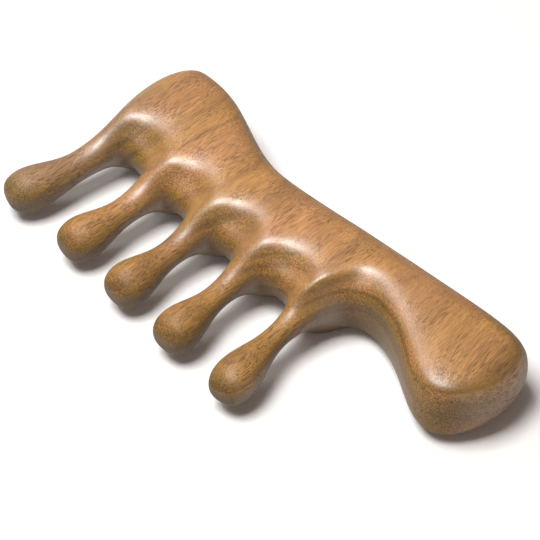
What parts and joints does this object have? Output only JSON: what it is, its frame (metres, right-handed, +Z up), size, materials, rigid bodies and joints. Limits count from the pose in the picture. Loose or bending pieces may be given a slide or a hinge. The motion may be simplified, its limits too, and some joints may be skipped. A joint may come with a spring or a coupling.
{
  "type": "wide-tooth wooden scalp comb",
  "caption": "One-piece carved wooden comb with thick bulb-ended teeth, a tall rounded head and a swelling handle.",
  "frame": {"origin": "under the middle of the comb's bounding box, on the flat face that it lies on", "axes": "+X along the back towards the butt of the handle, the teeth point along -Y, +Z up through the board's thickness"},
  "size_m": [0.152, 0.0784, 0.0223],
  "materials": {
    "wood": "sanded smooth and waxed to a satin sheen, open pores, orange-brown with greenish-brown growth bands"
  },
  "bodies": {
    "root": {"comb": "wood"}
  },
  "joints": []
}
